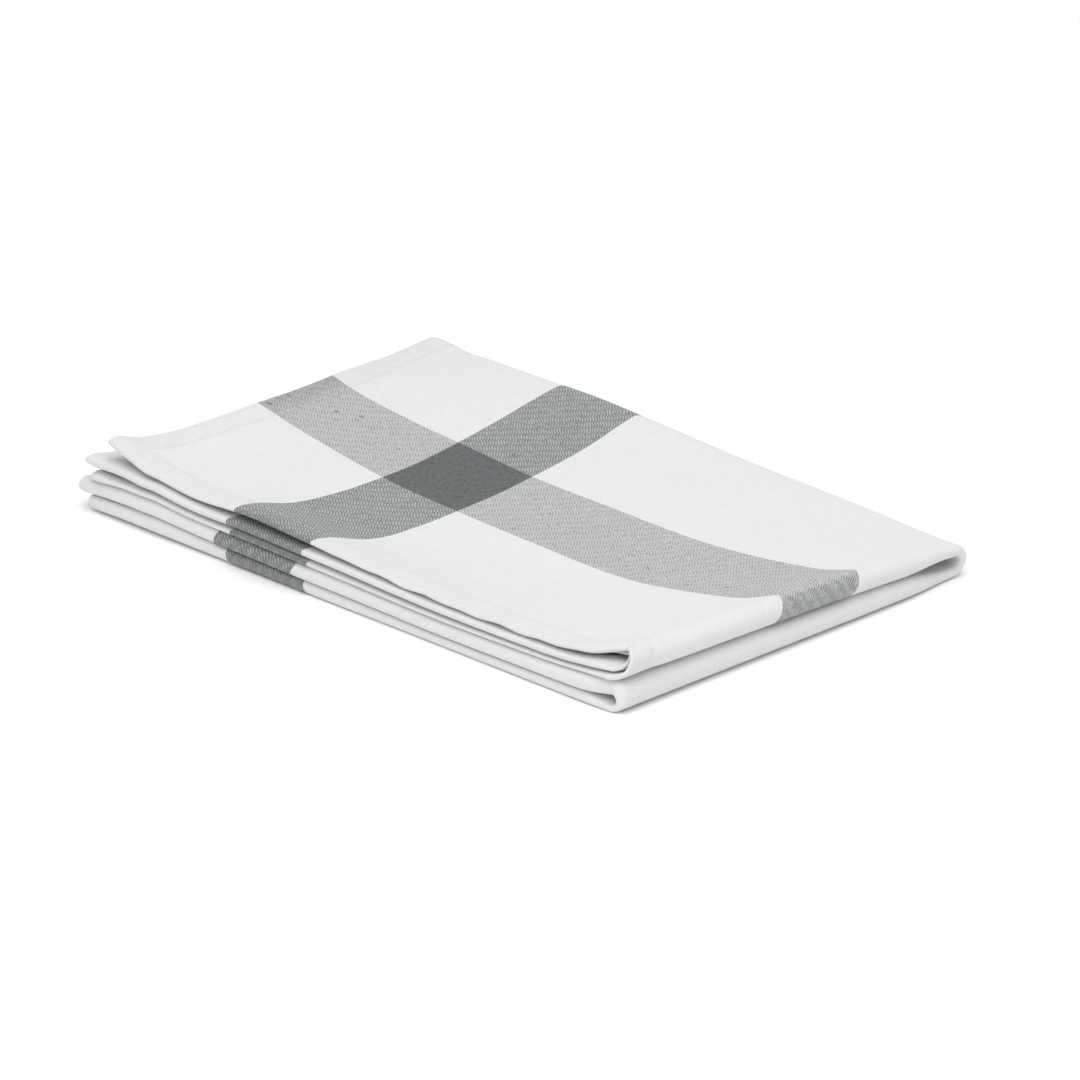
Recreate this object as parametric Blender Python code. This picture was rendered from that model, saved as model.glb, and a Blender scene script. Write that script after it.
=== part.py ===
"""Tea towel, folded in half three times into a flat packet that lies on a table.

One cotton cloth, about 495 x 675 mm when flat, hemmed along all four sides. It is folded
in half across its length, then across its width, and across its length once more, so the
packet has eight layers. All lengths are in metres, Z is up, and the packet stands on
Z = 0 with its long side along X and the last fold at the back, at +Y.
"""
import bpy
import numpy as np

MM = 0.001

# Driving sizes
PACKET_LENGTH = 248.0 * MM  # from the hemmed ends to where the loops at the right begin
PACKET_WIDTH = 163.0 * MM   # from the front to where the last fold at the back begins
CLOTH = 1.0 * MM            # thickness of the cloth
HEM_WIDTH = 10.0 * MM       # turned and sewn edge, on all four sides
HEM_STEP = 2.0 * MM         # the hem thins out to plain cloth over this width
HEM_RISE = 0.4 * MM         # how much thicker the hem is, all on the wrong side
EDGE_ROUND = 0.6 * MM       # how far the hem's edge bulges past its two faces
FOLD_DEPTH = 0.95           # a fold's reach as a share of half its height

# The table of panels: one row for each layer, counted from the top. The first fold
# makes sheets A and B, the second makes arms 1 and 2, the third the two copies.
# hem_front, hem_back: where the hemmed end lies along X, at the front and at the back.
# front_left, front_right: where the front edge, or the centre of the front fold, lies
# along Y, at the hemmed end and at the loops.
PANEL_COLUMNS = ("hem_front", "hem_back", "front_left", "front_right")
PANELS_MM = {
    ("arm 1", "upper", "A"): (14.0, 9.0, 3.5, 5.0),
    ("arm 1", "upper", "B"): (11.0, 8.0, 12.5, 11.0),
    ("arm 2", "upper", "B"): (5.5, 5.5, 1.5, 2.0),
    ("arm 2", "upper", "A"): (7.5, 5.0, 0.5, 1.0),
    ("arm 2", "lower", "A"): (2.0, 3.0, 3.0, 3.0),
    ("arm 2", "lower", "B"): (0.5, 3.0, 3.0, 3.0),
    ("arm 1", "lower", "B"): (5.0, 5.0, 3.0, 2.6),
    ("arm 1", "lower", "A"): (5.5, 5.5, 3.0, 2.6),
}

# The table of gaps: one row for each pair of neighbouring layers, counted from the
# table up, measured between the middles of the two sheets.
# middle: in the middle of the packet. The others are added to it at one side and die
# away towards the middle. hem: room for two hems at the hemmed ends. spread: how the
# hemmed ends fan out. loop, front, back: how the three folds stand open. swell: the
# soft rise in front of the back fold.
GAP_COLUMNS = ("middle", "hem", "spread", "loop", "front", "back", "swell")
GAPS_MM = {
    "8 to 7": (1.45, 0.75, 1.1, 0.2, 2.4, 0.0, 0.35),
    "7 to 6": (1.45, 0.00, 1.1, 3.6, 0.0, 0.0, 0.35),
    "6 to 5": (1.45, 0.75, 1.3, 0.2, 2.9, 0.0, 0.40),
    "5 to 4": (1.45, 0.00, 1.9, 0.0, 0.2, 3.0, 0.50),
    "4 to 3": (1.45, 0.75, 1.7, 0.4, 1.2, 0.0, 0.50),
    "3 to 2": (1.45, 0.00, 1.8, 2.4, 0.0, 0.0, 0.50),
    "2 to 1": (1.45, 0.75, 1.7, 0.4, 1.1, 0.0, 0.50),
}
HEM_ROOM_FROM = 25.0 * MM   # two hems lie over each other up to here
REACH_MM = {"hem": 20.0, "spread": 50.0, "loop": 50.0, "front": 55.0, "back": 40.0}
SWELL_PLACE = 95.0 * MM     # the swell's middle along X
SWELL_REACH = 90.0 * MM     # to both sides of it, and forward from the back fold
PINCH = {"spread": 0.90, "loop": 0.95}   # share that the back fold presses flat
PINCH_REACH = {"spread": 100.0 * MM, "loop": 60.0 * MM}
SETTLE = {"spread": 0.55, "loop": 0.45}  # share of the front column lost at both ends

# The top sheet rolls down over its front edge, and its left tip curls up. The packet's
# left front corner is a little off the table.
ROLL_DROP = 2.0 * MM
ROLL_REACH = 9.0 * MM
TIP_CURL = 3.5 * MM
TIP_REACH = 30.0 * MM
CORNER_LIFT = 1.5 * MM
CORNER_REACH = 28.0 * MM

# Grid lines of the cloth: across the arms along X, and over the panels along Y. All
# layers share them, so that neighbouring sheets stay parallel.
ARM_LINES_MM = (34.0, 56.0, 86.0, 120.0, 154.0, 182.0, 205.0, 224.0, 238.0)
PANEL_LINES_MM = (28.0, 46.0, 66.0, 88.0, 110.0, 130.0, 147.0)
FRONT_LINE_MM = 14.0        # one more behind the front folds
LOOP_STEPS = 9
BACK_STEPS = 8
FRONT_STEPS = 6


def fade(distance, reach):
    """1 at no distance, falling along half a cosine wave to 0 at the reach."""
    share = np.clip(distance / reach, 0.0, 1.0)
    return 0.5 + 0.5 * np.cos(np.pi * share)


def table(rows, columns):
    """A table of rows in millimetres as a dict of column name to array in metres."""
    values = np.array(list(rows.values())) * MM
    return {name: values[:, index] for index, name in enumerate(columns)}


def hem_lines():
    """Grid lines of a hem, as distances from its edge: edge, middle, stitches, end."""
    return [0.0, HEM_WIDTH / 2, HEM_WIDTH, HEM_WIDTH + HEM_STEP]


def cloth_lines():
    """The grid lines both ways over the flat cloth, as seven lists.

    Across the width: the place along X, whether that is measured from the hemmed end
    (1) or not (0), and the turn round the loop. Along the length: the place along Y,
    whether that is measured from the front edge or fold, and the turns round the back
    fold and the front fold.
    """
    hem = hem_lines()
    arm_lines = np.array(ARM_LINES_MM) * MM
    arm = np.concatenate([hem, arm_lines, [PACKET_LENGTH]])
    arm_held = np.array([1.0] * len(hem) + [0.0] * (len(arm_lines) + 1))
    loop = np.linspace(0.0, np.pi, LOOP_STEPS + 1)[1:-1]
    place_x = np.concatenate([arm, np.full(len(loop), PACKET_LENGTH), arm[::-1]])
    held_x = np.concatenate([arm_held, 0.0 * loop, arm_held[::-1]])
    turn_x = np.concatenate([0.0 * arm, loop, np.full(len(arm), np.pi)])

    panel_lines = np.array(PANEL_LINES_MM) * MM
    hemmed = np.concatenate([hem, panel_lines, [PACKET_WIDTH]])
    folded = np.concatenate([[0.0, FRONT_LINE_MM * MM], panel_lines, [PACKET_WIDTH]])
    back = np.linspace(0.0, np.pi, BACK_STEPS + 1)[1:-1]
    front = np.linspace(0.0, np.pi, FRONT_STEPS + 1)[1:-1]
    at_back, half_turn = np.full(len(back), PACKET_WIDTH), np.pi
    place_y = np.concatenate([
        hemmed, at_back, folded[::-1], 0.0 * front, folded, at_back, hemmed[::-1]])
    hemmed_held = (hemmed < HEM_WIDTH + 2 * HEM_STEP).astype(float)
    folded_held = (folded == 0.0).astype(float)
    held_y = np.concatenate([
        hemmed_held, 0.0 * back, folded_held[::-1], 0.0 * front + 1.0,
        folded_held, 0.0 * back, hemmed_held[::-1]])
    turn_back = np.concatenate([
        0.0 * hemmed, back, 0.0 * folded + half_turn, 0.0 * front + half_turn,
        0.0 * folded + half_turn, back[::-1], 0.0 * hemmed])
    turn_front = np.concatenate([
        0.0 * hemmed, 0.0 * back, 0.0 * folded, front,
        0.0 * folded + half_turn, 0.0 * back + half_turn, 0.0 * hemmed + half_turn])
    return place_x, held_x, turn_x, place_y, held_y, turn_back, turn_front


def panel_value(column, arm, copy, sheet):
    """A column of the panel table, blended between the eight layers.

    arm, copy and sheet run from 0 to 1 as the cloth turns round the loop, the back fold
    and the front fold.
    """
    weights = {
        "arm 1": 1.0 - arm, "arm 2": arm, "upper": 1.0 - copy, "lower": copy,
        "A": 1.0 - sheet, "B": sheet}
    total = 0.0
    for (arm_name, copy_name, sheet_name), value in zip(PANELS_MM, column):
        total = total + value * weights[arm_name] * weights[copy_name] * weights[sheet_name]
    return total


def layer_heights(x, y):
    """Heights of the middles of the eight sheets at a place, from the table up."""
    gap = table(GAPS_MM, GAP_COLUMNS)
    column = (slice(None),) + (None,) * x.ndim
    reach = {name: value * MM for name, value in REACH_MM.items()}
    to_back = PACKET_WIDTH - y
    pinch = {name: PINCH[name] * fade(to_back, PINCH_REACH[name]) for name in PINCH}
    spread = np.exp(-x / reach["spread"])
    loop = fade(PACKET_LENGTH - x, reach["loop"])
    settle = (1.0 - SETTLE["spread"] * spread) * (1.0 - SETTLE["loop"] * loop)
    share = {
        "middle": np.ones_like(x),
        "hem": fade(x - HEM_ROOM_FROM, reach["hem"]),
        "spread": spread * (1.0 - pinch["spread"]),
        "loop": loop * (1.0 - pinch["loop"]),
        "front": fade(y, reach["front"]) * settle,
        "back": fade(to_back, reach["back"]),
        "swell": fade(np.abs(x - SWELL_PLACE), SWELL_REACH) * fade(to_back, SWELL_REACH),
    }
    gaps = sum(gap[name][column] * share[name] for name in GAP_COLUMNS)
    lift = CORNER_LIFT * fade(x, CORNER_REACH) * fade(y, CORNER_REACH)
    lowest = (CLOTH / 2 + lift)[None]
    return np.concatenate([lowest, lowest + np.cumsum(gaps, axis=0)])


def turn_over(before, after, turn):
    """The value on a half turn between two panels: their mean plus half their
    difference times the cosine of the turn, so a fold is half an ellipse."""
    return (before + after) / 2 + (before - after) / 2 * np.cos(turn)


def fold_cloth():
    """The middle surface of the folded cloth and its distance to the nearest hem.

    Each fold joins two panels by half an ellipse: its height is a cosine of the turn,
    and its reach past the panels a sine of the turn, both times half the height between
    the panels. The front fold comes first, then the loop, then the back fold, and each
    carries the folds made before it round with it.
    """
    lines = cloth_lines()
    place_x, held_x, turn_x = (line[:, None] for line in lines[:3])
    place_y, held_y, turn_back, turn_front = (line[None] for line in lines[3:])
    arm, copy, sheet = turn_x / np.pi, turn_back / np.pi, turn_front / np.pi

    panel = table(PANELS_MM, PANEL_COLUMNS)
    ends = {name: panel_value(panel[name], arm, copy, sheet) for name in PANEL_COLUMNS}
    to_back, to_loop = place_y / PACKET_WIDTH, place_x / PACKET_LENGTH
    hem_end = ends["hem_front"] * (1 - to_back) + ends["hem_back"] * to_back
    front = ends["front_left"] * (1 - to_loop) + ends["front_right"] * to_loop
    x = place_x + held_x * hem_end
    y = place_y + held_y * front

    height = dict(zip(reversed(PANELS_MM), layer_heights(x, y)))
    arms = {
        (arm_name, copy_name): turn_over(
            height[arm_name, copy_name, "A"], height[arm_name, copy_name, "B"], turn_front)
        for arm_name in ("arm 1", "arm 2") for copy_name in ("upper", "lower")}
    upper = turn_over(arms["arm 1", "upper"], arms["arm 2", "upper"], turn_x)
    lower = turn_over(arms["arm 1", "lower"], arms["arm 2", "lower"], turn_x)
    z = turn_over(upper, lower, turn_back)

    front_radius = turn_over(
        height["arm 1", "lower", "B"] - height["arm 1", "lower", "A"],
        height["arm 2", "lower", "A"] - height["arm 2", "lower", "B"], turn_x) / 2
    loop_radius = turn_over(
        arms["arm 1", "upper"] - arms["arm 2", "upper"],
        arms["arm 2", "lower"] - arms["arm 1", "lower"], turn_back) / 2
    back_radius = (upper - lower) / 2
    x = x + FOLD_DEPTH * loop_radius * np.sin(turn_x)
    y = (y + FOLD_DEPTH * back_radius * np.sin(turn_back)
         - FOLD_DEPTH * front_radius * np.sin(turn_front))

    on_top = (1 - arm) * (1 - copy) * (1 - sheet)
    z = z - ROLL_DROP * fade(y, ROLL_REACH) * on_top
    z = z + TIP_CURL * fade(x, TIP_REACH) * fade(y, TIP_REACH) * on_top

    far = PACKET_LENGTH
    to_end = np.where(held_x > 0, place_x, far)
    to_front = np.where((held_y > 0) & (copy == 0), place_y, far)
    return np.stack([x, y, z], axis=-1), np.minimum(to_end, to_front)


def sheet_normals(middle):
    """Unit normals of a grid surface, on the side that is outside the towel."""
    along = np.gradient(middle, axis=0)
    across = np.gradient(middle, axis=1)
    normal = np.cross(along, across)
    return normal / np.linalg.norm(normal, axis=-1, keepdims=True)


def rim_faces(right, edge, wrong):
    """Two strips of faces round a sheet's border, from its right side over the bulge
    to its wrong side."""
    faces = []
    count = len(edge)
    for k in range(count):
        n = (k + 1) % count
        faces.append((right[k], edge[k], edge[n], right[n]))
        faces.append((edge[k], wrong[k], wrong[n], edge[n]))
    return faces


def border(index):
    """The border of a grid of indices, once round, anticlockwise from outside."""
    return np.concatenate([index[:-1, 0], index[-1, :-1], index[:0:-1, -1], index[0, :0:-1]])


def cloth_mesh(name):
    """The closed solid of the cloth: its two faces and a rounded border."""
    middle, to_hem = fold_cloth()
    normal = sheet_normals(middle)
    rise = HEM_RISE * np.clip((HEM_WIDTH + HEM_STEP - to_hem) / HEM_STEP, 0.0, 1.0)
    right = middle + normal * (CLOTH / 2)
    wrong = middle - normal * (CLOTH / 2 + rise)[..., None]
    rows, columns = middle.shape[:2]
    count = rows * columns
    index = np.arange(count).reshape(rows, columns)

    outward = np.zeros_like(middle)
    outward[0] += middle[0] - middle[1]
    outward[-1] += middle[-1] - middle[-2]
    outward[:, 0] += middle[:, 0] - middle[:, 1]
    outward[:, -1] += middle[:, -1] - middle[:, -2]
    loop = border(index)
    push = outward.reshape(-1, 3)[loop]
    push /= np.linalg.norm(push, axis=-1, keepdims=True)
    centre = ((right + wrong) / 2).reshape(-1, 3)[loop]
    edge_points = centre + push * EDGE_ROUND

    points = np.concatenate([right.reshape(-1, 3), wrong.reshape(-1, 3), edge_points])
    low, high = points.min(axis=0), points.max(axis=0)
    points -= np.array([(low[0] + high[0]) / 2, (low[1] + high[1]) / 2, low[2]])

    corners = np.stack(
        [index[:-1, :-1], index[1:, :-1], index[1:, 1:], index[:-1, 1:]], axis=-1)
    faces = corners.reshape(-1, 4).tolist()
    faces += (corners.reshape(-1, 4)[:, ::-1] + count).tolist()
    edge = np.arange(len(loop)) + 2 * count
    faces += rim_faces(loop, edge, loop + count)
    mesh = bpy.data.meshes.new(name)
    mesh.from_pydata(points.tolist(), [], faces)
    mesh.validate()
    mesh.shade_smooth()
    return mesh


def cotton():
    """White cotton twill with a cool, slightly grey white."""
    material = bpy.data.materials.new("white_cotton")
    material.use_nodes = True
    shader = material.node_tree.nodes["Principled BSDF"]
    shader.inputs["Base Color"].default_value = (0.80, 0.81, 0.82, 1.0)
    shader.inputs["Roughness"].default_value = 0.9
    shader.inputs["Metallic"].default_value = 0.0
    return material


def main():
    for item in list(bpy.data.objects):
        bpy.data.objects.remove(item)
    towel = bpy.data.objects.new("towel_cloth", cloth_mesh("towel_cloth"))
    towel.data.materials.append(cotton())
    bpy.context.scene.collection.objects.link(towel)


main()
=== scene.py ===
# %% [markdown]
# # A folded tea towel
# This towel is one piece of white cotton twill with woven grey stripes, hemmed along all
# four sides. It is folded in half across its length, then across its width, then across
# its length again, so a flat packet of eight layers lies on the table. A cloth
# simulation could fold it, but it would hardly stop at these very folds. So the cloth is
# one numpy grid that knows how it is folded, and every fold is a formula.

# %% Load the frame
import math

import bpy
import numpy as np
from mathutils import Matrix, Vector


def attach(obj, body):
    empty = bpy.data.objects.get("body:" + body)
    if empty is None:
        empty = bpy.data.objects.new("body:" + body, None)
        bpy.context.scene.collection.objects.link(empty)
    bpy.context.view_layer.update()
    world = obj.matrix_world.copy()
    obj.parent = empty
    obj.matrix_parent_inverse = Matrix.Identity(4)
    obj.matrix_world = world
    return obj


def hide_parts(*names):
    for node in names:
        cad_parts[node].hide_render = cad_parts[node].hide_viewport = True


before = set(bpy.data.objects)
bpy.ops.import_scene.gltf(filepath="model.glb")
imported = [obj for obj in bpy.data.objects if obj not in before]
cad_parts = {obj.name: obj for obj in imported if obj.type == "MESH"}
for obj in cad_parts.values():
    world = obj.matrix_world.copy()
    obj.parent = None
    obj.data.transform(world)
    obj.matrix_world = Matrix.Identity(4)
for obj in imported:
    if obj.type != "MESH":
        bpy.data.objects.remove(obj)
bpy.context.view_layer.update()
MM = 0.001

# %% [markdown]
# ## The camera
# The photograph was taken from far away with a long lens, so its lines hardly converge.
# The view looks across the packet's front right corner, about 22 degrees down. The camera
# comes first, because everything later is judged through it.

# %% The camera
PHOTO_PIXELS = 1080
PIXELS_PER_METRE = 3025.0        # how large the towel shows in the photograph
CAMERA_TURN = math.radians(45.1)
CAMERA_DOWN = math.radians(22.4)
CAMERA_DISTANCE = 6.0            # metres
CAMERA_SIGHT = 50.0              # how far it sees
CAMERA_AIM = Vector((17.3, -10.9, 8.75)) * MM
SENSOR_WIDTH = 36.0


def photo_camera():
    """A camera on a ball round the aim: turned about Z, then tipped down. Its lens shows a
    metre at the aim as the given number of pixels."""
    right = Vector((math.cos(CAMERA_TURN), math.sin(CAMERA_TURN), 0.0))
    level = Vector((-math.sin(CAMERA_TURN), math.cos(CAMERA_TURN), 0.0))
    forward = level * math.cos(CAMERA_DOWN) - Vector((0, 0, math.sin(CAMERA_DOWN)))
    up = right.cross(forward)
    place = CAMERA_AIM - forward * CAMERA_DISTANCE
    lens = bpy.data.cameras.new("photo_camera")
    lens.sensor_width = SENSOR_WIDTH
    lens.lens = PIXELS_PER_METRE * CAMERA_DISTANCE / PHOTO_PIXELS * SENSOR_WIDTH
    lens.clip_end = CAMERA_SIGHT
    camera = bpy.data.objects.new("photo_camera", lens)
    camera.matrix_world = Matrix((
        (right[0], up[0], -forward[0], place[0]),
        (right[1], up[1], -forward[1], place[1]),
        (right[2], up[2], -forward[2], place[2]),
        (0, 0, 0, 1)))
    bpy.context.scene.collection.objects.link(camera)
    bpy.context.scene.camera = camera
    return camera


camera = photo_camera()
print("lens, mm:", round(camera.data.lens))

# %% [markdown]
# ## The sizes of the packet
# The packet's long side runs along X, from the hemmed ends at the left to the loops at
# the right. Its short side runs along Y, from the open front to the last fold at the
# back. The first fold makes sheets A and B, the second makes arms 1 and 2, and the third
# makes the upper and the lower copy. So each layer has a name of three words.

# %% Driving sizes
PACKET_LENGTH = 248.6 * MM   # to where the loops begin
PACKET_WIDTH = 163.0 * MM    # to where the last fold begins
PACKET_MIDDLE = (126.7 * MM, 85.6 * MM)   # the place that stands over the origin
CLOTH = 0.7 * MM             # the twill's thickness
HEM_WIDTH = 10.0 * MM
STITCH_LINE = 8.6 * MM       # from the edge to the seam that holds the hem
FOLD_DEPTH = 0.95            # a fold's reach as a share of half its height
LOOP_DEPTH = 1.2             # the same for the loops, which are softer

# One row for each layer, from the top down: where its hemmed end lies along X, at the
# front, half way and at the back.
END_PLACES_MM = (0.0, 80.0, 163.0)
END_LINES_MM = {
    ("arm 1", "upper", "A"): (14.0, 14.8, 2.5),
    ("arm 1", "upper", "B"): (13.0, 13.0, 4.0),
    ("arm 2", "upper", "B"): (5.5, 11.0, 4.5),
    ("arm 2", "upper", "A"): (7.5, 8.5, 4.5),
    ("arm 2", "lower", "A"): (2.0, 4.5, 3.5),
    ("arm 2", "lower", "B"): (0.5, 3.5, 3.5),
    ("arm 1", "lower", "B"): (5.0, 5.0, 4.0),
    ("arm 1", "lower", "A"): (5.5, 5.5, 4.5),
}
# Where each layer's front edge or front fold lies along Y, at seven places along X. The
# second layer is tucked in, out of sight.
FRONT_PLACES_MM = (0.0, 38.0, 80.0, 140.0, 172.0, 236.0, 250.0)
FRONT_LINES_MM = {
    ("arm 1", "upper", "A"): (3.5, 3.0, 2.5, 2.7, 2.5, 4.0, 12.0),
    ("arm 1", "upper", "B"): (15.0, 15.0, 15.0, 14.0, 13.0, 11.0, 12.0),
    ("arm 2", "upper", "B"): (1.5, 1.8, 1.4, 1.8, 1.7, 2.2, 4.2),
    ("arm 2", "upper", "A"): (0.8, 1.3, 1.2, 1.6, 1.4, 1.8, 2.3),
    ("arm 2", "lower", "A"): (3.0, 3.0, 3.0, 3.0, 3.0, 3.0, 6.0),
    ("arm 2", "lower", "B"): (3.0, 3.0, 3.0, 3.0, 3.0, 3.0, 6.0),
    ("arm 1", "lower", "B"): (3.0, 3.0, 3.0, 3.0, 2.8, 2.6, 2.6),
    ("arm 1", "lower", "A"): (3.0, 3.0, 3.0, 3.0, 2.8, 2.6, 2.6),
}

print("layers:", len(END_LINES_MM))

# %% [markdown]
# ### Curves through a few values
# The tables give values at a few places. Straight lines between them would show as kinks,
# and many smooth curves swing too far beside a steep step. So these keep steady slopes.

# %% Curves through a few values
def steady_slopes(stations, values):
    """Slopes that never overshoot: at a station, the harmonic mean of the slopes on its two
    sides, and 0 at a hill or a dip."""
    steps = np.diff(values) / np.diff(stations)
    before, after = steps[:-1], steps[1:]
    same = before * after > 0
    mean = 2 * before * after / np.where(same, before + after, 1.0)
    return np.concatenate([[steps[0]], np.where(same, mean, 0.0), [steps[-1]]])


def curve_through(place, stations, values, slopes=None):
    """A smooth curve through a few values: a cubic between each two stations, with the
    given slopes at the stations, or else the steady ones."""
    stations, values = np.asarray(stations, float), np.asarray(values, float)
    slopes = steady_slopes(stations, values) if slopes is None else slopes
    left = np.clip(np.searchsorted(stations, place) - 1, 0, len(stations) - 2)
    width = stations[left + 1] - stations[left]
    t = np.clip((place - stations[left]) / width, 0.0, 1.0)
    start = (2 * t**3 - 3 * t**2 + 1) * values[left]
    start_slope = (t**3 - 2 * t**2 + t) * width * slopes[left]
    end = (3 * t**2 - 2 * t**3) * values[left + 1]
    end_slope = (t**3 - t**2) * width * slopes[left + 1]
    return (start + start_slope) + (end + end_slope)


top_front = FRONT_LINES_MM["arm 1", "upper", "A"]
print("top layer's front half way, mm:",
      round(float(curve_through(PACKET_LENGTH / 2 / MM, FRONT_PLACES_MM, top_front)), 2))

# %% [markdown]
# ## How high the top lies
# A folded towel is flat in the middle and stands up at its edges, where hems are thick,
# folds spring open and free ends fan out. The table is a sketch of that hill in sizes:
# the height of the top sheet at a few places, with a smooth surface through them.

# %% The height of the top sheet
TOP_PLACES_X_MM = (0.0, 25.0, 50.0, 80.0, 110.0, 150.0, 190.0, 220.0, 236.0, 250.0)
TOP_PLACES_Y_MM = (0.0, 10.0, 28.0, 50.0, 72.0, 105.0, 140.0, 163.0)
TOP_MM = (
    (30.0, 28.2, 25.8, 25.2, 25.0, 24.0, 17.2, 15.7),
    (24.4, 23.4, 21.0, 20.2, 19.7, 18.2, 16.4, 15.0),
    (20.4, 19.6, 17.8, 16.2, 15.3, 15.0, 15.4, 15.3),
    (21.0, 20.0, 14.9, 12.5, 12.3, 13.7, 14.9, 15.8),
    (19.7, 18.3, 12.8, 10.8, 11.1, 12.1, 13.0, 14.8),
    (17.4, 16.7, 12.4, 10.1, 10.1, 12.0, 13.1, 13.3),
    (16.9, 16.3, 13.0, 10.6, 10.0, 12.2, 13.2, 12.7),
    (17.4, 16.8, 14.8, 13.2, 12.9, 13.5, 13.4, 12.0),
    (18.4, 17.9, 17.0, 15.9, 15.3, 15.1, 13.8, 11.5),
    (21.6, 20.9, 20.0, 19.3, 18.6, 17.2, 14.4, 11.6),
)
# Each crease: its middle along X and Y, half length, half width, direction in degrees
# and depth.
CREASES_MM = (
    (19.0, 146.0, 34.0, 5.0, 90.0, 0.7),
    (31.0, 6.0, 13.0, 5.0, 75.0, 0.9),
    (16.0, 40.0, 26.0, 4.0, 95.0, 0.4),
    (182.0, 130.0, 26.0, 9.0, 25.0, 0.35),
    (228.0, 14.0, 13.0, 4.0, 55.0, 0.5),
    (241.0, 10.0, 11.0, 3.5, 50.0, -0.6),
    (120.0, 40.0, 45.0, 10.0, 15.0, 0.25),
)


def station_shares(place, stations):
    """For each station, a smooth curve that is 1 there and 0 at all the others."""
    return np.stack([
        curve_through(place / MM, stations, row, np.gradient(row, stations))
        for row in np.eye(len(stations))])


def crease_depth(x, y):
    """Soft troughs, each a bell curve over its length and its width. A minus depth makes
    a ridge."""
    total = 0.0
    for middle_x, middle_y, half_length, half_width, direction, depth in CREASES_MM:
        turn = math.radians(direction)
        east, north = x / MM - middle_x, y / MM - middle_y
        along_it = east * math.cos(turn) + north * math.sin(turn)
        off_it = north * math.cos(turn) - east * math.sin(turn)
        total = total + depth * np.exp(-(along_it / half_length)**2 - (off_it / half_width)**2)
    return total * MM


def top_height(x, y):
    """A smooth surface through the table, less the creases: curves along Y, joined by
    curves along X."""
    along_x = station_shares(x, TOP_PLACES_X_MM)
    along_y = station_shares(y, TOP_PLACES_Y_MM)
    height = np.einsum("i...,j...,ij->...", along_x, along_y, np.array(TOP_MM)) * MM
    return height - crease_depth(x, y)


MIDDLE_PLACE = (120.0 * MM, 80.0 * MM)   # where the printed heights are measured
print("top in the middle, mm:", round(float(top_height(*MIDDLE_PLACE) / MM), 1))

# %% [markdown]
# ## How the height is shared out
# Between the table and the top lie eight sheets, with seven gaps from middle to middle.
# Each gap takes a share of the height. The gaps that hold two hems, or the inside of a
# fold, take more. Along the front edge the shares change from place to place, because
# that edge shows best.

# %% The gaps between the sheets
# One row for each gap, from the table up: its share in the middle, and what the hems, the
# loops, the back fold and the right back corner add to it.
GAP_SHARES = {
    "8 to 7": (1.0, 1.3, 0.0, 0.0, -0.2),
    "7 to 6": (1.0, 0.0, 4.2, 0.0, -0.2),
    "6 to 5": (1.0, 1.3, 0.0, 0.0, -0.2),
    "5 to 4": (1.0, 0.0, -0.2, 2.4, 1.6),
    "4 to 3": (1.0, 1.3, 0.0, 0.0, 0.0),
    "3 to 2": (1.0, 0.0, 3.8, 0.0, 0.0),
    "2 to 1": (1.0, 1.5, 0.0, 0.0, 0.0),
}
# The same gaps along the front edge, at the seven places of the front lines. Only their
# proportions count, because the height of the top is given.
FRONT_GAPS_MM = {
    "8 to 7": (3.6, 4.7, 3.6, 3.0, 2.5, 3.0, 1.1),
    "7 to 6": (2.0, 1.1, 1.1, 1.1, 1.1, 1.1, 3.9),
    "6 to 5": (4.6, 5.2, 5.1, 4.5, 4.7, 5.5, 5.2),
    "5 to 4": (2.1, 1.4, 1.4, 1.35, 1.35, 1.3, 1.3),
    "4 to 3": (7.4, 4.2, 4.1, 3.8, 3.6, 3.1, 2.9),
    "3 to 2": (4.4, 1.8, 1.5, 1.5, 1.5, 1.4, 3.4),
    "2 to 1": (6.6, 2.4, 3.4, 1.8, 1.7, 2.6, 3.2),
}
FRONT_FULL = 6.0 * MM        # from the front edge, its own gaps are full so far
FRONT_REACH = 34.0 * MM
BACK_REACH = 28.0 * MM
HEM_FULL = 20.0 * MM         # from the left, the hems' room is full so far
HEM_REACH = 22.0 * MM
LOOP_REACH = 50.0 * MM
LOOP_PINCH = 0.95            # the loops are pressed flat where the back fold crosses them
LOOP_PINCH_REACH = 50.0 * MM
CORNER_REACH = 24.0 * MM     # from the right back corner
LIFT = 0.9 * MM              # the left front corner stands a little off the table
LIFT_REACH_X = 140.0 * MM
LIFT_REACH_Y = 60.0 * MM


def fade(distance, reach):
    """1 at no distance, falling along half a cosine wave to 0 at the reach."""
    share = np.clip(distance / reach, 0.0, 1.0)
    return 0.5 + 0.5 * np.cos(np.pi * share)


def gap_shares(x, y):
    """The seven gaps as shares of the whole height, from the table up."""
    to_back = PACKET_WIDTH - y
    place = np.stack([
        np.ones_like(x),
        fade(x - HEM_FULL, HEM_REACH),
        fade(PACKET_LENGTH - x, LOOP_REACH) * (1 - LOOP_PINCH * fade(to_back, LOOP_PINCH_REACH)),
        fade(to_back, BACK_REACH),
        fade(PACKET_LENGTH - x, CORNER_REACH) * fade(to_back, CORNER_REACH)])
    inner = np.einsum("gc,c...->g...", np.array(list(GAP_SHARES.values())), place)
    edge = np.stack([
        curve_through(x / MM, FRONT_PLACES_MM, row) for row in FRONT_GAPS_MM.values()])
    front = fade(y - FRONT_FULL, FRONT_REACH)
    return inner / inner.sum(0) * (1 - front) + edge / edge.sum(0) * front


def layer_heights(x, y):
    """Heights of the middles of the eight sheets at a place: the lowest, then each one
    higher by its gap."""
    lowest = CLOTH / 2 + LIFT * fade(x, LIFT_REACH_X) * fade(y, LIFT_REACH_Y)
    room = top_height(x, y) - CLOTH / 2 - lowest
    steps = np.cumsum(gap_shares(x, y), axis=0) * room
    return np.concatenate([lowest[None], lowest + steps])


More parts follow.
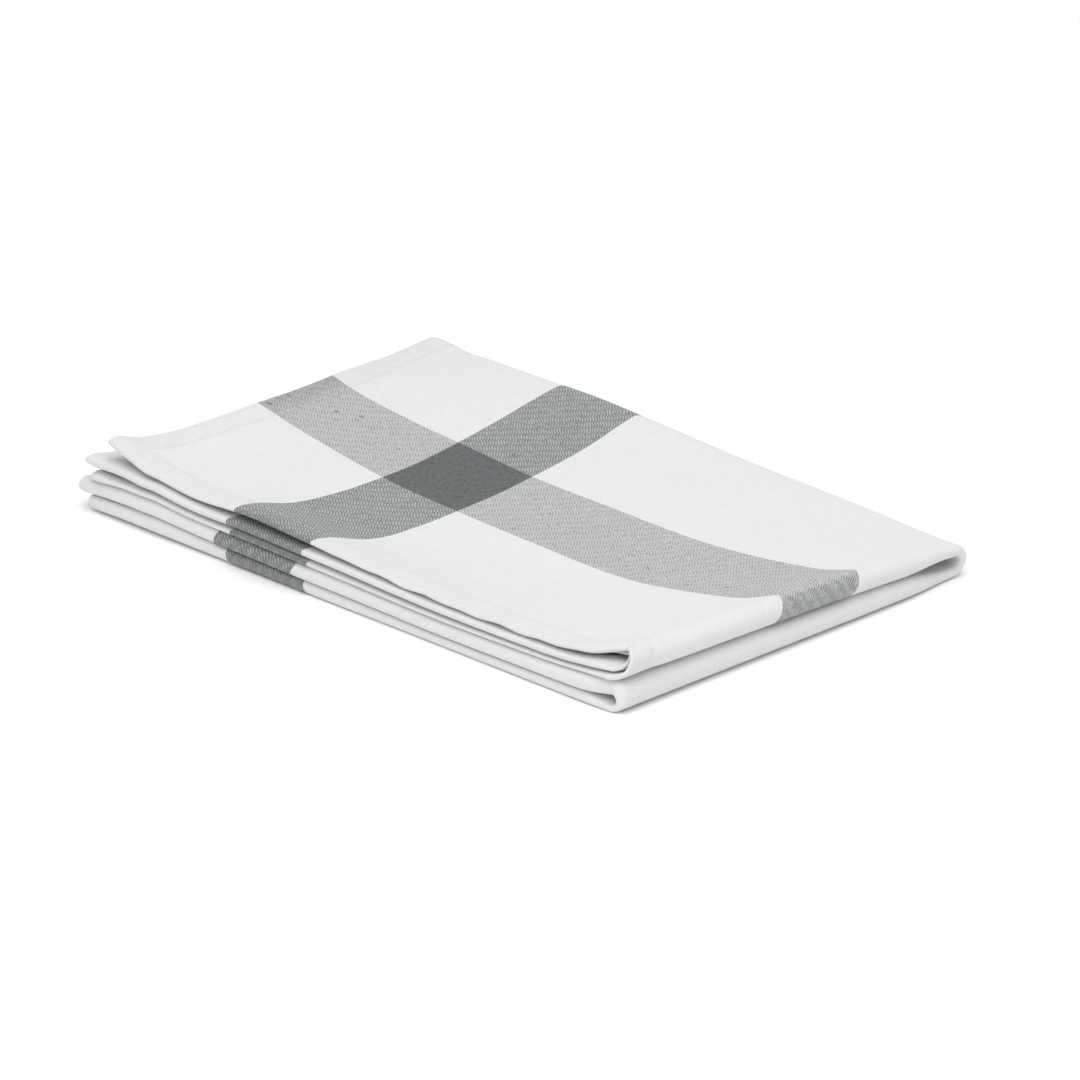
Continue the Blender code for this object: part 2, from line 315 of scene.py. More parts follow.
middle_heights = layer_heights(*np.array(MIDDLE_PLACE).reshape(2, 1))
print("gaps in the middle, mm:", np.round(np.diff(middle_heights, axis=0).T / MM, 2))

# %% [markdown]
# ## The grid of the cloth
# The grid has two directions, as the yarns have. One runs across the towel: along arm 1,
# round the loop, and back along arm 2. The other runs along it: over the four panels and
# round three folds. Each line knows its place and how far it has turned round each fold.
# The lines lie closer where the cloth shows or bends.

# %% Grid lines
# Stops along each panel, and the widest step between two lines from stop to stop.
ARM_STOPS_MM = (0.0, 12.0, 60.0, 200.0, PACKET_LENGTH / MM)
ARM_STEPS_MM = {"arm 1": (1.0, 2.0, 2.6, 1.9), "arm 2": (1.2, 3.0, 4.8, 2.8)}
UPPER_A_LINES_MM = ((0.0, 12.0, 60.0, 120.0, 163.0), (1.0, 2.2, 2.8, 2.0))
UPPER_B_LINES_MM = ((0.0, 12.0, 40.0, 163.0), (1.2, 4.0, 6.0))
LOWER_LINES_MM = ((0.0, 20.0, 163.0), (2.5, 6.2))
LOOP_STEPS = 20              # steps round a half turn
BACK_STEPS = {"A": 18, "B": 14}
FRONT_STEPS = 12


def graded(stops_mm, steps_mm):
    """Distances from the first stop to the last. Between two stops they are evenly
    spaced, by the given step or a little less."""
    parts = []
    for start, end, step in zip(stops_mm[:-1], stops_mm[1:], steps_mm):
        parts.append(np.linspace(start, end, math.ceil((end - start) / step) + 1)[:-1])
    return np.concatenate(parts + [[stops_mm[-1]]]) * MM


def inner_turns(steps):
    """The turns between the start and the end of a half turn."""
    return np.linspace(0.0, np.pi, steps + 1)[1:-1]


def lines_across():
    """Place along X and turn round the loop, for each line across the towel."""
    first = graded(ARM_STOPS_MM, ARM_STEPS_MM["arm 1"])
    second = graded(ARM_STOPS_MM, ARM_STEPS_MM["arm 2"])[::-1]
    loop = inner_turns(LOOP_STEPS)
    place = np.concatenate([first, np.full(len(loop), PACKET_LENGTH), second])
    turn = np.concatenate([np.zeros(len(first)), loop, np.full(len(second), np.pi)])
    return place, turn


def lines_along():
    """Place along Y and the turns round the back fold and the front fold, for each line
    along the towel."""
    upper_a, upper_b = graded(*UPPER_A_LINES_MM), graded(*UPPER_B_LINES_MM)[::-1]
    lower_a, lower_b = graded(*LOWER_LINES_MM)[::-1], graded(*LOWER_LINES_MM)
    back_a, back_b = inner_turns(BACK_STEPS["A"]), inner_turns(BACK_STEPS["B"])[::-1]
    front = inner_turns(FRONT_STEPS)
    stretches = [  # place along Y, turn round the back fold, turn round the front fold
        (upper_a, 0.0, 0.0), (PACKET_WIDTH, back_a, 0.0), (lower_a, np.pi, 0.0),
        (0.0, np.pi, front), (lower_b, np.pi, np.pi), (PACKET_WIDTH, back_b, np.pi),
        (upper_b, 0.0, np.pi)]
    whole = [np.broadcast_arrays(*stretch) for stretch in stretches]
    return tuple(np.concatenate(parts) for parts in zip(*whole))


place_x, turn_x = (line[:, None] for line in lines_across())
place_y, turn_back, turn_front = (line[None] for line in lines_along())
print("grid:", place_x.size, "x", place_y.size)

# %% [markdown]
# ## Folding
# A fold joins two panels by half an ellipse. On a half turn, the height is the mean of
# the two panels plus half their difference times the cosine of the turn, and the reach
# past the panels is a sine of the turn. The front fold is made first, then the loop, then
# the back fold, and each carries the folds made before it round with it. The free front
# edge of the top sheet then gets its own shape: it rolls down, it waves a little, and its
# left tip curls up.

# %% Fold the cloth
CORNER_TUCK = 0.8 * MM       # at the right back corner, the lower copy is tucked in
TUCK_REACH = 22.0 * MM
ROLL_REACH = 4.5 * MM        # the top sheet's front edge rolls down on an arc, from here
ROLL_TURN = math.radians(72.0)
ROLL_SHARES = (0.2, 0.35, 0.15, 0.1, 0.05, 0.1, 0.3)   # of that arc, at the front places
TIP_CURL = 1.6 * MM          # its left tip curls up
TIP_REACH = 15.0 * MM
RIPPLES_MM = ((19.0, 0.25), (31.0, 0.2))   # its waves: length and height
RIPPLE_REACH = 12.0 * MM     # from the front edge, they die away so far
RIPPLE_START = 90.0 * MM     # along X, they start here
RIPPLE_GROWTH = 60.0 * MM    # and grow over this length
RIPPLE_END = 228.0 * MM      # from here to the loops they die away


def turn_over(before, after, turn):
    """The value on a half turn between two panels."""
    return (before + after) / 2 + (before - after) / 2 * np.cos(turn)


def layer_blend(lines_mm, stations, place):
    """Each layer's line at a place along it, blended between the layers as the cloth
    turns from one to the next."""
    arm, copy, sheet = turn_x / np.pi, turn_back / np.pi, turn_front / np.pi
    weights = {
        "arm 1": 1.0 - arm, "arm 2": arm, "upper": 1.0 - copy, "lower": copy,
        "A": 1.0 - sheet, "B": sheet}
    total = 0.0
    for names, values in lines_mm.items():
        share = math.prod(weights[name] for name in names)
        total = total + share * curve_through(place / MM, stations, values) * MM
    return total


def shape_top_edge(y, z):
    """The top sheet's front edge: rolled down on an arc, so that it drops by one less the
    cosine of its turn, then curled up at its left tip, and waved by sines."""
    on_top = (turn_x == 0) & (turn_back == 0) & (turn_front == 0)
    rolled = ROLL_TURN * np.clip(1.0 - place_y / ROLL_REACH, 0.0, 1.0) * on_top
    arc_radius = ROLL_REACH / ROLL_TURN
    share = curve_through(place_x / MM, FRONT_PLACES_MM, ROLL_SHARES)
    z = z - share * arc_radius * (1.0 - np.cos(rolled))
    y = y + share * arc_radius * (rolled - np.sin(rolled))
    z = z + TIP_CURL * fade(place_x, TIP_REACH) * fade(place_y, TIP_REACH) * on_top
    ripple = 0.0
    for wave_length, wave_height in RIPPLES_MM:
        ripple = ripple + wave_height * MM * np.sin(2 * np.pi * place_x / (wave_length * MM))
    ripple = ripple * (1 - fade(place_x - RIPPLE_START, RIPPLE_GROWTH))
    ripple = ripple * fade(place_x - RIPPLE_END, PACKET_LENGTH - RIPPLE_END)
    return y, z + ripple * fade(place_y, RIPPLE_REACH) * on_top


def fold_cloth():
    """The middle surface of the folded cloth, as a grid of points."""
    to_back, to_loop = place_y / PACKET_WIDTH, place_x / PACKET_LENGTH
    x = place_x + layer_blend(END_LINES_MM, END_PLACES_MM, place_y) * (1 - to_loop)
    y = place_y + layer_blend(FRONT_LINES_MM, FRONT_PLACES_MM, place_x) * (1 - to_back)

    height = dict(zip(reversed(END_LINES_MM), layer_heights(x, y)))
    arms = {
        (arm_name, copy_name): turn_over(
            height[arm_name, copy_name, "A"], height[arm_name, copy_name, "B"], turn_front)
        for arm_name in ("arm 1", "arm 2") for copy_name in ("upper", "lower")}
    upper = turn_over(arms["arm 1", "upper"], arms["arm 2", "upper"], turn_x)
    lower = turn_over(arms["arm 1", "lower"], arms["arm 2", "lower"], turn_x)
    z = turn_over(upper, lower, turn_back)

    front_radius = turn_over(
        height["arm 1", "lower", "B"] - height["arm 1", "lower", "A"],
        height["arm 2", "lower", "A"] - height["arm 2", "lower", "B"], turn_x) / 2
    loop_radius = turn_over(
        arms["arm 1", "upper"] - arms["arm 2", "upper"],
        arms["arm 2", "lower"] - arms["arm 1", "lower"], turn_back) / 2
    back_radius = (upper - lower) / 2
    x = x + LOOP_DEPTH * loop_radius * np.sin(turn_x)
    y = (y + FOLD_DEPTH * back_radius * np.sin(turn_back)
         - FOLD_DEPTH * front_radius * np.sin(turn_front))

    tuck = CORNER_TUCK * turn_over(0.0, 1.0, turn_back) ** 2
    tuck = tuck * fade(PACKET_WIDTH - y, TUCK_REACH) * fade(PACKET_LENGTH - x, TUCK_REACH)
    x, y = x - tuck, y - tuck

    y, z = shape_top_edge(y, z)
    return np.stack([x, y, z], axis=-1)


middle = fold_cloth()
print("middle surface, mm:", np.round((middle.max((0, 1)) - middle.min((0, 1))) / MM, 1))

# %% [markdown]
# ## The cloth's own coordinates
# Stripes and yarns follow the cloth and not the room. So each point gets its distance
# from two edges, measured along the cloth, as its UV coordinates in metres.

# %% Distances along the cloth
WEFT_BOW = 4.5 * MM          # the crosswise yarns bow in the middle of the cloth's width
WEFT_BOW_REACH = 75.0 * MM
# How far right of the hem's own line the lengthwise yarns lie, at the places of the ends.
SLIDE_MM = {
    ("arm 1", "upper", "A"): (-1.2, 0.0, 0.0),
    ("arm 1", "upper", "B"): (2.0, 2.0, 2.0),
    ("arm 2", "upper", "B"): (5.5, 4.0, 4.0),
    ("arm 2", "upper", "A"): (3.7, 3.7, 3.7),
    ("arm 2", "lower", "A"): (2.0, 2.0, 2.0),
    ("arm 2", "lower", "B"): (2.0, 2.0, 2.0),
    ("arm 1", "lower", "B"): (3.0, 3.0, 3.0),
    ("arm 1", "lower", "A"): (3.0, 3.0, 3.0),
}


def run_lengths(points, axis):
    """Distances along the grid lines, summed from the first point of each line."""
    steps = np.linalg.norm(np.diff(points, axis=axis), axis=-1)
    start = np.zeros_like(np.take(steps, [0], axis=axis))
    return np.concatenate([start, np.cumsum(steps, axis=axis)], axis=axis)


across, along = run_lengths(middle, 0), run_lengths(middle, 1)
FLAT_WIDTH, FLAT_LENGTH = float(across[-1].mean()), float(along[:, -1].mean())
across *= FLAT_WIDTH / across[-1:]
along *= FLAT_LENGTH / along[:, -1:]
across_warp = across - layer_blend(SLIDE_MM, END_PLACES_MM, place_y) * np.cos(turn_x)
along_weft = along - WEFT_BOW * fade(np.abs(across - FLAT_WIDTH / 2), WEFT_BOW_REACH)
to_end = np.minimum(across, FLAT_WIDTH - across)
to_side = np.minimum(along, FLAT_LENGTH - along)
print("flat cloth, mm:", round(FLAT_WIDTH / MM), "x", round(FLAT_LENGTH / MM))

# %% [markdown]
# ## Hems
# A hem is the edge turned over twice, so three plies lie there, and nine where two hems
# cross at a corner. It puffs up between its folded edge and its seam. Most of that shows
# on the wrong side of the cloth, because the right side stays nearly flat.

# %% How thick the hems are
HEM_PROFILE_MM = (0.0, 1.5, 3.5, 6.0, 8.6, 10.0, 11.3)
HEM_PROFILE = (0.66, 0.94, 1.0, 0.72, 0.34, 0.36, 0.0)
END_RISE_MM = {"front": 1.4, "back": 0.6}
CORNER_RISE = 1.1 * MM       # added where two hems cross
SIDE_RISE_MM = {             # at the seven places of the front lines
    ("arm 1", "A"): (2.4, 1.2, 0.9, 1.3, 1.6, 1.8, 1.3),
    ("arm 1", "B"): (0.4, 0.2, 0.1, 0.1, 0.1, 0.2, 0.4),
    ("arm 2", "B"): (2.8, 2.6, 2.2, 2.4, 2.4, 1.9, 0.9),
    ("arm 2", "A"): (1.5, 1.2, 1.2, 1.0, 0.9, 0.8, 1.2),
}


def hem_profile(distance):
    """The hem's relative thickness at a distance from the edge."""
    return np.interp(distance / MM, HEM_PROFILE_MM, HEM_PROFILE)


def hem_rise():
    """How much thicker than plain cloth the cloth is, at each grid point."""
    on_arm_2, on_b = (turn_x > np.pi / 2), (turn_front > np.pi / 2)
    side = np.zeros(middle.shape[:2])
    for (arm, sheet), values in SIDE_RISE_MM.items():
        here = (on_arm_2 == (arm == "arm 2")) & (on_b == (sheet == "B"))
        side = np.where(here, curve_through(place_x / MM, FRONT_PLACES_MM, values), side)
    at_back = np.sin(0.5 * np.pi * np.clip(middle[..., 1] / PACKET_WIDTH, 0.0, 1.0)) ** 2
    end = END_RISE_MM["front"] * (1 - at_back) + END_RISE_MM["back"] * at_back
    side_share, end_share = hem_profile(to_side), hem_profile(to_end)
    crossing = side_share * end_share
    return np.maximum(side * side_share, end * end_share) * MM + CORNER_RISE * crossing


rise = hem_rise()
print("thickest hem, mm:", round(float((rise.max() + CLOTH) / MM), 2))

# %% [markdown]
# ## The cloth as a mesh
# The right side and the wrong side lie half a thickness off the middle surface. A strip
# rounds off the border between them: five rings of points that follow half a circle.

# %% Directions on a grid
TINY = 1e-12                 # keeps a zero length from being divided by


def sheet_normals(points):
    """Unit normals of a grid surface, on the side that is outside the towel."""
    normal = np.cross(np.gradient(points, axis=0), np.gradient(points, axis=1))
    return normal / np.linalg.norm(normal, axis=-1, keepdims=True)


def border(index):
    """The border of a grid, once round, anticlockwise seen from the right side."""
    return np.concatenate([index[:-1, 0], index[-1, :-1], index[:0:-1, -1], index[0, :0:-1]])


def outward_directions(points):
    """Unit vectors that point out of the sheet at its border, in its own plane."""
    outward = np.zeros_like(points)
    outward[0] += points[0] - points[1]
    outward[-1] += points[-1] - points[-2]
    outward[:, 0] += points[:, 0] - points[:, 1]
    outward[:, -1] += points[:, -1] - points[:, -2]
    length = np.linalg.norm(outward, axis=-1, keepdims=True)
    return outward / np.maximum(length, TINY)


print("points round the border:", len(border(across)))

# %% [markdown]
# ### What the mesh tells the material
# A material can't know by itself where the cloth bends or ends, so the mesh carries that
# as numbers at its points. The distances along the cloth are its UV, which runs on past the
# edge round the rim, because there the cloth turns under.

# %% Marks and coordinates
RIM_TURNS = np.radians((-68.0, -34.0, 0.0, 34.0, 68.0))   # the rings round the rim
RIM_UV_START = 0.5           # where their UV starts past the edge, as a share of the bulge
BEND_START = math.radians(12.0)   # round a loop, the weave starts to open at this turn
BEND_REACH = math.radians(26.0)   # and is fully open so much further round
SHUT_REACH = 2.5 * MM        # it is shut at an edge, and less so up to here


def cloth_marks(rim):
    """Numbers for the material at each point: the distance from the nearest edge, how far
    the weave is open or shut, and 1 on the wrong side."""
    to_edge = np.minimum(to_end, to_side)
    round_loop = np.broadcast_to(np.minimum(turn_x, np.pi - turn_x), to_edge.shape)
    grids = {
        "edge": to_edge,
        "bend": 1.0 - fade(round_loop - BEND_START, BEND_REACH),
        "shut": np.maximum(np.sin(turn_front), fade(to_edge, SHUT_REACH))}
    marks = {}
    for name, grid in grids.items():
        values = grid.ravel()
        marks[name] = np.concatenate([values, values] + [values[rim]] * len(RIM_TURNS))
    sides = np.zeros(to_edge.size), np.ones(to_edge.size), np.zeros(len(rim) * len(RIM_TURNS))
    marks["wrong"] = np.concatenate(sides)
    return marks


def cloth_coordinates(rim, reach):
    """The distances along the cloth at each point. Round the rim they run on past the
    edge, by the reach times the turn."""
    flat = np.stack([across_warp, along_weft], axis=-1).reshape(-1, 2)
    spread = np.stack([across, along, np.zeros_like(along)], axis=-1)
    push = outward_directions(spread).reshape(-1, 3)[rim, :2]
    rings = [
        flat[rim] + push * reach * (turn - RIM_TURNS[0] + RIM_UV_START) for turn in RIM_TURNS]
    return np.concatenate([flat, flat] + rings)


print("rings round the rim:", len(RIM_TURNS))

# %% Build the mesh
RIM_BULGE = 1.0              # how far the rim stands out, as a share of half its thickness
HEM_SHOW = {"arm 1": 0.16, "arm 2": 0.25}   # a hem's share that stands out on the right side


def cloth_surface():
    """Points, faces, cloth coordinates and marks of the closed sheet: the right side, the
    wrong side, and rings of points that carry half a circle round the border."""
    normal = sheet_normals(middle)
    show = rise * turn_over(HEM_SHOW["arm 1"], HEM_SHOW["arm 2"], turn_x)
    right = (middle + normal * (CLOTH / 2 + show)[..., None]).reshape(-1, 3)
    wrong = (middle - normal * (CLOTH / 2 + rise - show)[..., None]).reshape(-1, 3)
    rows, columns = middle.shape[:2]
    index = np.arange(rows * columns).reshape(rows, columns)
    rim = border(index)
    push = outward_directions(middle).reshape(-1, 3)[rim]
    centre = (right[rim] + wrong[rim]) / 2
    half = (right[rim] - wrong[rim]) / 2
    reach = np.linalg.norm(half, axis=-1, keepdims=True) * RIM_BULGE
    rings = [
        centre + half * np.sin(-turn) + push * reach * np.cos(turn) for turn in RIM_TURNS]
    points = np.concatenate([right, wrong] + rings)

    quads = np.stack([index[:-1, :-1], index[1:, :-1], index[1:, 1:], index[:-1, 1:]], axis=-1)
    quads = quads.reshape(-1, 4)
    faces = [quads, quads[:, ::-1] + rows * columns]
    ring = np.arange(len(rim))
    starts = [2 * rows * columns + k * len(rim) for k in range(len(RIM_TURNS))]
    chain = [rim] + [start + ring for start in starts] + [rim + rows * columns]
    for near, far in zip(chain[:-1], chain[1:]):
        faces.append(np.stack([near, far, np.roll(far, -1), np.roll(near, -1)], axis=-1))
    return points, np.concatenate(faces), cloth_coordinates(rim, reach), cloth_marks(rim)


def mesh_from(name, points, faces, coordinates=None, marks=None):
    """A smooth mesh from points and faces. It may carry cloth coordinates, and marks, which
    are one number for each point."""
    mesh = bpy.data.meshes.new(name)
    mesh.from_pydata(points.tolist(), [], faces)
    if coordinates is not None:
        uv = mesh.uv_layers.new(name="cloth")
        corner = np.zeros(len(mesh.loops), np.int32)
        mesh.loops.foreach_get("vertex_index", corner)
        uv.data.foreach_set("uv", coordinates[corner].astype(np.float32).ravel())
    for mark, values in (marks or {}).items():
        layer = mesh.attributes.new(mark, "FLOAT", "POINT")
        layer.data.foreach_set("value", values.astype(np.float32))
    mesh.shade_smooth()
    piece = bpy.data.objects.new(name, mesh)
    bpy.context.scene.collection.objects.link(piece)
    return piece


points, faces, coordinates, marks = cloth_surface()
points = points - np.array([*PACKET_MIDDLE, points[:, 2].min()])
towel = mesh_from("tea_towel", points, faces.tolist(), coordinates, marks)
print("faces:", len(faces), "size, mm:", np.round(np.ptp(points, axis=0) / MM, 1))

# %% [markdown]
# ## The seams
# White thread holds the hems. A seam is a line at a steady distance from the edge, so it
# is found on the grid by interpolation, and then cut into stitches. Each stitch is a small
# bead that lies partly sunk in the right side of the cloth.

# %% Stitches
STITCH_PITCH = 3.0 * MM      # from the start of one stitch to the next
STITCH_LENGTH = 2.2 * MM
STITCH_STEP = STITCH_LENGTH / 10   # over which the seam's direction is measured
THREAD_RADIUS = 0.15 * MM
THREAD_SUNK = 0.06 * MM      # how far the thread's middle lies below the surface
BEAD_PROFILE = (0.3, 0.9, 1.0, 0.9, 0.3)   # the bead's thickness from end to end
BEAD_SIDES = 6


def crossing_line(values, level, *surfaces):
    """Where each grid line, down the first axis, passes a level: the surfaces' values
    there, interpolated between two grid points."""
    below = np.clip((values < level).sum(0) - 1, 0, len(values) - 2)
    column = np.arange(values.shape[1])
    low, high = values[below, column], values[below + 1, column]
    share = ((level - low) / (high - low))[:, None]
    return [surface[below, column] * (1 - share) + surface[below + 1, column] * share
            for surface in surfaces]


def beads_along(line, normal):
    """Beads of thread, evenly spaced along a line on the cloth: rings of points across the
    line, each as wide as the profile says."""
    run = np.concatenate([[0.0], np.cumsum(np.linalg.norm(np.diff(line, axis=0), axis=-1))])
    count = int((run[-1] - 2 * STITCH_LINE) / STITCH_PITCH)
    start = STITCH_LINE + STITCH_PITCH * np.arange(count)
    place = start[:, None] + STITCH_LENGTH * np.linspace(0.0, 1.0, len(BEAD_PROFILE))

    def at(place, values):
        """The values of the line's points, interpolated at places along it."""
        return np.stack([np.interp(place, run, values[:, k]) for k in range(3)], axis=-1)

    up = at(place, normal)
    up /= np.linalg.norm(up, axis=-1, keepdims=True)
    ahead = at(place + STITCH_STEP, line) - at(place - STITCH_STEP, line)
    side = np.cross(up, ahead)
    side /= np.linalg.norm(side, axis=-1, keepdims=True)
    turn = np.arange(BEAD_SIDES) * 2 * np.pi / BEAD_SIDES
    radius = THREAD_RADIUS * np.array(BEAD_PROFILE)[None, :, None, None]
    middle_line = (at(place, line) - up * THREAD_SUNK)[:, :, None]
    return (middle_line + radius * (side[:, :, None] * np.cos(turn)[:, None]
                                    + up[:, :, None] * np.sin(turn)[:, None]))


def stitches():
    """All four seams: their points, their faces and the number of beads."""
    normal = sheet_normals(middle)
    right = points[:middle.shape[0] * middle.shape[1]].reshape(middle.shape)
    turned = [values.swapaxes(0, 1) for values in (along, right, normal)]
    lines = []
    for level in (STITCH_LINE, FLAT_WIDTH - STITCH_LINE):
        lines.append(crossing_line(across, level, right, normal))
    for level in (STITCH_LINE, FLAT_LENGTH - STITCH_LINE):
        lines.append(crossing_line(turned[0], level, *turned[1:]))
    beads = np.concatenate([beads_along(*line) for line in lines])
    index = np.arange(beads[..., 0].size).reshape(beads.shape[:3])
    near, far = index[:, :-1], index[:, 1:]
    sides = np.stack([near, np.roll(near, -1, 2), np.roll(far, -1, 2), far], axis=-1)
    faces = sides.reshape(-1, 4).tolist() + index[:, 0, ::-1].tolist() + index[:, -1].tolist()
    return beads.reshape(-1, 3), faces, len(beads)


stitch_points, stitch_faces, stitch_count = stitches()
seams = mesh_from("hem_stitches", stitch_points, stitch_faces)
print("stitches:", stitch_count)

# %% [markdown]
# ## The weave
# The cloth is a twill. Each lengthwise yarn passes over three crosswise yarns and under
# one, and each neighbour does so one step later, so the weave shows slanting lines. The
# grey bars are grey yarns among the white ones. Along the dark bar the lengthwise yarns
# are grey, along the light bar the crosswise ones are, and where the bars cross all are.
# So the material asks which yarn lies on top, and what colour that yarn is.

# %% Small helpers for node materials
class Graph:
    """The nodes of one material, with short calls for the kinds used here. A value is a
    number or another node's output."""

    def __init__(self, name):
        """A new material with one Principled shader."""
        self.material = bpy.data.materials.new(name)
        self.material.use_nodes = True
        self.tree = self.material.node_tree
        self.shader = self.tree.nodes["Principled BSDF"]

    def feed(self, socket, value):
        """Link a node's output to a socket, or set the socket to a number."""
        if isinstance(value, bpy.types.NodeSocket):
            self.tree.links.new(value, socket)
        else:
            socket.default_value = value

    def node(self, kind, inputs, **settings):
        """A new node. Its inputs are given by name or by number."""
        node = self.tree.nodes.new("ShaderNode" + kind)
        for setting, value in settings.items():
            setattr(node, setting, value)
        for socket, value in inputs.items():
            self.feed(node.inputs[socket], value)
        return node

    def math(self, operation, *values):
        """One step of arithmetic."""
        return self.node("Math", dict(enumerate(values)), operation=operation).outputs[0]

    def blend(self, share, first, second):
        """The first number where the share is 0, the second where it is 1."""
        return self.node("Mix", {0: share, 2: first, 3: second}).outputs[0]

    def tint(self, share, first, second):
        """The same for colours."""
        return self.node("Mix", {0: share, 6: first, 7: second}, data_type="RGBA").outputs[2]

    def scaled(self, colour, factor):
        """A colour made lighter or darker."""
        inputs = {0: colour, "Scale": factor}
        return self.node("VectorMath", inputs, operation="SCALE").outputs[0]

    def cloth_place(self):
        """The distances across and along the cloth, in metres."""
        uv = self.node("UVMap", {}, uv_map="cloth")
        split = self.node("SeparateXYZ", {0: uv.outputs[0]})
        return split.outputs[0], split.outputs[1]

    def mark(self, name):
        """A number that the mesh carries at each point."""
        return self.node("Attribute", {}, attribute_name=name).outputs["Fac"]

    def noise(self, place, name):
        """A soft random number between 0 and 1, as the table of noises says."""
        scale, detail, level, stretch = NOISES[name]
        point = self.node("CombineXYZ", {0: place[0], 1: place[1], 2: level}).outputs[0]
        inputs = {0: point, 1: (*stretch, 1.0)}
        point = self.node("VectorMath", inputs, operation="MULTIPLY").outputs[0]
        inputs = {"Vector": point, "Scale": scale, "Detail": detail}
        return self.node("TexNoise", inputs).outputs[0]

    def bump(self, height, distance, strength):
        """Small relief of the given height, without any change to the mesh."""
        inputs = {"Height": height, "Distance": distance, "Strength": strength}
        self.feed(self.shader.inputs["Normal"], self.node("Bump", inputs).outputs[0])

    def finish(self, values):
        """Set what is the same all over, on the shader's own sockets."""
        for name, value in values.items():
            self.shader.inputs[name].default_value = value


print("graph helpers:", len([name for name in vars(Graph) if not name.startswith("_")]))

# %% [markdown]
# ### Which yarn lies on top
# Number the yarns by dividing the place by the yarn's width. Yarn numbers that add up to
# the same remainder, after division by four, lie on one slanting line, and that is where
# the crosswise yarn shows. Noise lets the lines stray as real yarns do, and a slow wave
# breaks them into rows of dashes. Round a loop the stretched cloth shows more of the
# crosswise yarn, at a tight fold or an edge less, and the wrong side shows mostly that yarn.

# %% Twill lines
YARN = 0.354 * MM
FLOAT = 4.0                  # three over and one under
WANDER = 2.2                 # how far a line strays, in yarns
DASH_LENGTH = 5.4 * MM
DASH_WANDER = 1.9            # how far a row of dashes strays, in rows
DASH_SHARE = 0.55            # how much the crosswise yarn's width changes along a dash
OPEN_BEND = 1.2              # how much wider that yarn shows round a loop, in yarns
SHUT_BEND = 0.75             # how much narrower at a front fold or an edge
SOFT_EDGE = 2.0              # how soft a yarn's edge is, in yarns
NOISES = {   # spots for each metre, detail, level in the noise, stretch across and along
    "dash sway": (300.0, 3.0, 0.0, (1.0, 1.0)),
    "line stray": (420.0, 3.0, 3.0, (1.0, 1.0)),
    "warp streak": (130.0, 1.0, 0.0, (9.0, 1.0)),
    "weft streak": (130.0, 1.0, 7.0, (1.0, 9.0)),
    "blotch": (28.0, 2.0, 0.0, (1.0, 1.0)),
    "fleck": (700.0, 3.0, 11.0, (1.0, 1.0)),
    "slub": (420.0, 1.0, 19.0, (0.6, 1.0)),
}


def around_zero(graph, noise, share):
    """A noise made to vary to both sides of 0, by a share."""
    return graph.math("MULTIPLY", graph.math("SUBTRACT", noise, 0.5), share)


def twill_step(graph, place, warp):
    """A place's step across the slanting lines, from 0 to the float with the line's middle
    half way, and the wave of the dashes there."""
    u, v = place
    dash_place = graph.math("DIVIDE", graph.math("SUBTRACT", u, v), DASH_LENGTH)
    sway = graph.math("MULTIPLY", graph.noise(place, "dash sway"), DASH_WANDER)
    dash_place = graph.math("ADD", dash_place, sway)
    dash = graph.math("COSINE", graph.math("MULTIPLY", dash_place, 2 * math.pi))
    stray = around_zero(graph, graph.noise(place, "line stray"), WANDER)
    slant = graph.math("ADD", warp, graph.math("ADD", graph.math("DIVIDE", v, YARN), stray))
    # Each row of dashes lies half a line on from its neighbour.
    half_lines = graph.math("MULTIPLY", graph.math("FLOOR", dash_place), FLOAT / 2)
    return graph.math("FLOORED_MODULO", graph.math("ADD", slant, half_lines), FLOAT), dash


def crosswise_share(graph, step, dash):
    """1 where the crosswise yarn lies on top and 0 where the lengthwise one does, with a
    soft edge between them."""
    opened = graph.math("MULTIPLY", graph.mark("bend"), OPEN_BEND)
    opened = graph.math("SUBTRACT", opened, graph.math("MULTIPLY", graph.mark("shut"), SHUT_BEND))
    width = graph.math("ADD", opened, 1.0)
    width = graph.math("SUBTRACT", width, graph.math("MULTIPLY", dash, DASH_SHARE))
    width = graph.blend(graph.mark("wrong"), width, FLOAT - 1.0)
    from_line = graph.math("ABSOLUTE", graph.math("SUBTRACT", step, FLOAT / 2))
    inside = graph.math("SUBTRACT", graph.math("MULTIPLY", width, 0.5), from_line)
    share = graph.math("ADD", graph.math("DIVIDE", inside, SOFT_EDGE), 0.5)
    return graph.math("MINIMUM", graph.math("MAXIMUM", share, 0.0), 1.0)


print("yarns across the towel:", round(FLAT_WIDTH / YARN))

# %% [markdown]
# ### Grey and white yarns
# A bar is a range of grey yarns. A white yarn looks greyer over a grey one, because some
# light passes through it. No two yarns are quite alike either: they are streaked, the dye
# is uneven, and thick spots, called slubs, show dark in the light bar. Over all of it lie
# soft blotches of painted light and shade.

# %% The colours of the yarns
DARK_BAR = (61.5 * MM, 97.6 * MM)    # from the side where the ends meet, along both halves
LIGHT_BAR = (66.4 * MM, 103.2 * MM)
WHITE_YARN = (0.702, 0.703, 0.700, 1.0)
GREY_YARN = (0.150, 0.163, 0.167, 1.0)
THROUGH = 0.30               # what a grey yarn beneath takes from the one on top
STREAK_SHARE = 0.16          # uneven yarns
PAINTED_BLOTCH_SHARE = 0.035         # soft blotches of painted light and shade
FLECK_SHARE = 0.42           # uneven dye, only in the grey bars
SLUB_RARITY = 0.66           # the noise above which a yarn has a slub
SLUB_SHARE = 2.5


def grey_bar(graph, yarn, bar, whole):
    """1 where the yarn's middle lies within the bar. The bar comes twice, the same
    distance from both ends of the whole."""
    middle_of_yarn = graph.math("MULTIPLY", graph.math("ADD", yarn, 0.5), YARN)
    folded = graph.math("PINGPONG", middle_of_yarn, whole / 2)
    return graph.math("COMPARE", folded, (bar[0] + bar[1]) / 2, (bar[1] - bar[0]) / 2)


